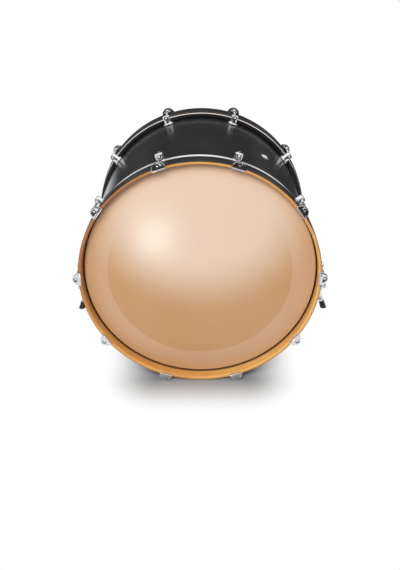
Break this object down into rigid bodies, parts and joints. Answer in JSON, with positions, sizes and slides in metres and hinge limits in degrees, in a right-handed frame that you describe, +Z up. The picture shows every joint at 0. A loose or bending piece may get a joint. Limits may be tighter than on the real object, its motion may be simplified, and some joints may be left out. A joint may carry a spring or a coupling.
{
  "type": "bass drum with fitted head",
  "caption": "Bass drum on its side: damped amber batter head in a maple hoop, held by claws and key rods on a black shell with folding spurs.",
  "frame": {"origin": "on the floor, under the middle of the shell, midway between the two heads", "axes": "+Z up, +Y along the drum's axis towards the front head, +X to the right as seen from the batter head"},
  "size_m": [0.7464, 0.478, 0.584],
  "materials": {
    "maple_ply": "clear lacquered maple",
    "black_lacquer": "black satin-gloss lacquer",
    "hoop_maple": "clear lacquered maple edge",
    "hoop_black": "black satin band",
    "amber_film": "translucent amber polyester film",
    "ring_film": "clear polyester ring",
    "white_film": "smooth white polyester film",
    "aluminium": "mill finish rolled hoop",
    "chrome": "polished chrome plate",
    "black_rubber": "black moulded rubber",
    "brass": "turned brass",
    "zinc_steel": "zinc plated steel"
  },
  "bodies": {
    "shell": {"shell_ply": "maple_ply", "shell_skin": "black_lacquer", "glue_rings": "maple_ply", "batter_lugs": "chrome", "front_lugs": "chrome", "swivel_nuts": "brass", "lug_gaskets": "black_rubber", "lug_screws": "zinc_steel", "screw_washers": "zinc_steel", "vent_grommet": "chrome", "vent_nut": "chrome", "spur_brackets": "chrome", "spur_gaskets": "black_rubber", "spur_screws": "zinc_steel", "spur_pivots": "zinc_steel"},
    "batter_head": {"batter_hoop": "hoop_maple", "batter_hoop_band": "hoop_black", "batter_film": "amber_film", "damping_ring": "ring_film", "batter_flesh_hoop": "aluminium", "batter_claws": "chrome", "batter_claw_pads": "black_rubber"},
    "front_head": {"front_hoop": "hoop_maple", "front_hoop_band": "hoop_black", "front_film": "white_film", "front_flesh_hoop": "aluminium", "front_claws": "chrome", "front_claw_pads": "black_rubber"},
    "batter_rod_01": {"batter_rod_01": "chrome"},
    "batter_rod_02": {"batter_rod_02": "chrome"},
    "batter_rod_03": {"batter_rod_03": "chrome"},
    "batter_rod_04": {"batter_rod_04": "chrome"},
    "batter_rod_05": {"batter_rod_05": "chrome"},
    "batter_rod_06": {"batter_rod_06": "chrome"},
    "batter_rod_07": {"batter_rod_07": "chrome"},
    "batter_rod_08": {"batter_rod_08": "chrome"},
    "batter_rod_09": {"batter_rod_09": "chrome"},
    "batter_rod_10": {"batter_rod_10": "chrome"},
    "front_rod_01": {"front_rod_01": "chrome"},
    "front_rod_02": {"front_rod_02": "chrome"},
    "front_rod_03": {"front_rod_03": "chrome"},
    "front_rod_04": {"front_rod_04": "chrome"},
    "front_rod_05": {"front_rod_05": "chrome"},
    "front_rod_06": {"front_rod_06": "chrome"},
    "front_rod_07": {"front_rod_07": "chrome"},
    "front_rod_08": {"front_rod_08": "chrome"},
    "front_rod_09": {"front_rod_09": "chrome"},
    "front_rod_10": {"front_rod_10": "chrome"},
    "right_spur": {"right_spur_tube": "chrome"},
    "right_leg": {"right_spur_leg": "chrome", "right_spur_foot": "black_rubber"},
    "right_lock": {"right_spur_lock": "chrome"},
    "right_wing_nut": {"right_spur_wing_nut": "chrome"},
    "left_spur": {"left_spur_tube": "chrome"},
    "left_leg": {"left_spur_leg": "chrome", "left_spur_foot": "black_rubber"},
    "left_lock": {"left_spur_lock": "chrome"},
    "left_wing_nut": {"left_spur_wing_nut": "chrome"}
  },
  "joints": [
    {"name": "batter_hoop_slide", "type": "slide", "parent": "shell", "child": "batter_head", "axis": [0, -1, 0], "range_m": [0, 0.008]},
    {"name": "front_hoop_slide", "type": "slide", "parent": "shell", "child": "front_head", "axis": [0, 1, 0], "range_m": [0, 0.008]},
    {"name": "batter_rod_01_turn", "type": "hinge", "parent": "batter_head", "child": "batter_rod_01", "pos_m": [0.09224, -0.164, 0.57589], "axis": [0, -1, 0], "range_deg": [0, 2721.31]},
    {"name": "batter_rod_02_turn", "type": "hinge", "parent": "batter_head", "child": "batter_rod_02", "pos_m": [0.24149, -0.164, 0.46745], "axis": [0, -1, 0], "range_deg": [0, 2721.31]},
    {"name": "batter_rod_03_turn", "type": "hinge", "parent": "batter_head", "child": "batter_rod_03", "pos_m": [0.2985, -0.164, 0.292], "axis": [0, -1, 0], "range_deg": [0, 2721.31]},
    {"name": "batter_rod_04_turn", "type": "hinge", "parent": "batter_head", "child": "batter_rod_04", "pos_m": [0.24149, -0.164, 0.11655], "axis": [0, -1, 0], "range_deg": [0, 2721.31]},
    {"name": "batter_rod_05_turn", "type": "hinge", "parent": "batter_head", "child": "batter_rod_05", "pos_m": [0.09224, -0.164, 0.00811], "axis": [0, -1, 0], "range_deg": [0, 2721.31]},
    {"name": "batter_rod_06_turn", "type": "hinge", "parent": "batter_head", "child": "batter_rod_06", "pos_m": [-0.09224, -0.164, 0.00811], "axis": [0, -1, 0], "range_deg": [0, 2721.31]},
    {"name": "batter_rod_07_turn", "type": "hinge", "parent": "batter_head", "child": "batter_rod_07", "pos_m": [-0.24149, -0.164, 0.11655], "axis": [0, -1, 0], "range_deg": [0, 2721.31]},
    {"name": "batter_rod_08_turn", "type": "hinge", "parent": "batter_head", "child": "batter_rod_08", "pos_m": [-0.2985, -0.164, 0.292], "axis": [0, -1, 0], "range_deg": [0, 2721.31]},
    {"name": "batter_rod_09_turn", "type": "hinge", "parent": "batter_head", "child": "batter_rod_09", "pos_m": [-0.24149, -0.164, 0.46745], "axis": [0, -1, 0], "range_deg": [0, 2721.31]},
    {"name": "batter_rod_10_turn", "type": "hinge", "parent": "batter_head", "child": "batter_rod_10", "pos_m": [-0.09224, -0.164, 0.57589], "axis": [0, -1, 0], "range_deg": [0, 2721.31]},
    {"name": "front_rod_01_turn", "type": "hinge", "parent": "front_head", "child": "front_rod_01", "pos_m": [0.09224, 0.164, 0.57589], "axis": [0, 1, 0], "range_deg": [0, 2721.31]},
    {"name": "front_rod_02_turn", "type": "hinge", "parent": "front_head", "child": "front_rod_02", "pos_m": [0.24149, 0.164, 0.46745], "axis": [0, 1, 0], "range_deg": [0, 2721.31]},
    {"name": "front_rod_03_turn", "type": "hinge", "parent": "front_head", "child": "front_rod_03", "pos_m": [0.2985, 0.164, 0.292], "axis": [0, 1, 0], "range_deg": [0, 2721.31]},
    {"name": "front_rod_04_turn", "type": "hinge", "parent": "front_head", "child": "front_rod_04", "pos_m": [0.24149, 0.164, 0.11655], "axis": [0, 1, 0], "range_deg": [0, 2721.31]},
    {"name": "front_rod_05_turn", "type": "hinge", "parent": "front_head", "child": "front_rod_05", "pos_m": [0.09224, 0.164, 0.00811], "axis": [0, 1, 0], "range_deg": [0, 2721.31]},
    {"name": "front_rod_06_turn", "type": "hinge", "parent": "front_head", "child": "front_rod_06", "pos_m": [-0.09224, 0.164, 0.00811], "axis": [0, 1, 0], "range_deg": [0, 2721.31]},
    {"name": "front_rod_07_turn", "type": "hinge", "parent": "front_head", "child": "front_rod_07", "pos_m": [-0.24149, 0.164, 0.11655], "axis": [0, 1, 0], "range_deg": [0, 2721.31]},
    {"name": "front_rod_08_turn", "type": "hinge", "parent": "front_head", "child": "front_rod_08", "pos_m": [-0.2985, 0.164, 0.292], "axis": [0, 1, 0], "range_deg": [0, 2721.31]},
    {"name": "front_rod_09_turn", "type": "hinge", "parent": "front_head", "child": "front_rod_09", "pos_m": [-0.24149, 0.164, 0.46745], "axis": [0, 1, 0], "range_deg": [0, 2721.31]},
    {"name": "front_rod_10_turn", "type": "hinge", "parent": "front_head", "child": "front_rod_10", "pos_m": [-0.09224, 0.164, 0.57589], "axis": [0, 1, 0], "range_deg": [0, 2721.31]},
    {"name": "right_spur_fold", "type": "hinge", "parent": "shell", "child": "right_spur", "pos_m": [0.29804, 0.149, 0.21494], "axis": [-0.9563, 0, -0.2924], "range_deg": [0, 90]},
    {"name": "right_leg_slide", "type": "slide", "parent": "right_spur", "child": "right_leg", "axis": [-0.2924, 0, 0.9563], "range_m": [0, 0.025]},
    {"name": "right_lock_turn", "type": "hinge", "parent": "right_spur", "child": "right_lock", "pos_m": [0.34336, 0.149, 0.06671], "axis": [0.9563, 0, 0.2924], "range_deg": [0, 360]},
    {"name": "right_wing_turn", "type": "hinge", "parent": "shell", "child": "right_wing_nut", "pos_m": [0.29804, 0.149, 0.21494], "axis": [0.9563, 0, 0.2924], "range_deg": [0, 360]},
    {"name": "left_spur_fold", "type": "hinge", "parent": "shell", "child": "left_spur", "pos_m": [-0.29804, 0.149, 0.21494], "axis": [-0.9563, 0, 0.2924], "range_deg": [0, 90]},
    {"name": "left_leg_slide", "type": "slide", "parent": "left_spur", "child": "left_leg", "axis": [0.2924, 0, 0.9563], "range_m": [0, 0.025]},
    {"name": "left_lock_turn", "type": "hinge", "parent": "left_spur", "child": "left_lock", "pos_m": [-0.34336, 0.149, 0.06671], "axis": [-0.9563, 0, 0.2924], "range_deg": [0, 360]},
    {"name": "left_wing_turn", "type": "hinge", "parent": "shell", "child": "left_wing_nut", "pos_m": [-0.29804, 0.149, 0.21494], "axis": [-0.9563, 0, 0.2924], "range_deg": [0, 360]}
  ],
  "couplings": [
    {"joint": "batter_rod_01_turn", "follows": "batter_hoop_slide", "rad_per_m": 5936.9},
    {"joint": "batter_rod_02_turn", "follows": "batter_hoop_slide", "rad_per_m": 5936.9},
    {"joint": "batter_rod_03_turn", "follows": "batter_hoop_slide", "rad_per_m": 5936.9},
    {"joint": "batter_rod_04_turn", "follows": "batter_hoop_slide", "rad_per_m": 5936.9},
    {"joint": "batter_rod_05_turn", "follows": "batter_hoop_slide", "rad_per_m": 5936.9},
    {"joint": "batter_rod_06_turn", "follows": "batter_hoop_slide", "rad_per_m": 5936.9},
    {"joint": "batter_rod_07_turn", "follows": "batter_hoop_slide", "rad_per_m": 5936.9},
    {"joint": "batter_rod_08_turn", "follows": "batter_hoop_slide", "rad_per_m": 5936.9},
    {"joint": "batter_rod_09_turn", "follows": "batter_hoop_slide", "rad_per_m": 5936.9},
    {"joint": "batter_rod_10_turn", "follows": "batter_hoop_slide", "rad_per_m": 5936.9},
    {"joint": "front_rod_01_turn", "follows": "front_hoop_slide", "rad_per_m": 5936.9},
    {"joint": "front_rod_02_turn", "follows": "front_hoop_slide", "rad_per_m": 5936.9},
    {"joint": "front_rod_03_turn", "follows": "front_hoop_slide", "rad_per_m": 5936.9},
    {"joint": "front_rod_04_turn", "follows": "front_hoop_slide", "rad_per_m": 5936.9},
    {"joint": "front_rod_05_turn", "follows": "front_hoop_slide", "rad_per_m": 5936.9},
    {"joint": "front_rod_06_turn", "follows": "front_hoop_slide", "rad_per_m": 5936.9},
    {"joint": "front_rod_07_turn", "follows": "front_hoop_slide", "rad_per_m": 5936.9},
    {"joint": "front_rod_08_turn", "follows": "front_hoop_slide", "rad_per_m": 5936.9},
    {"joint": "front_rod_09_turn", "follows": "front_hoop_slide", "rad_per_m": 5936.9},
    {"joint": "front_rod_10_turn", "follows": "front_hoop_slide", "rad_per_m": 5936.9}
  ]
}
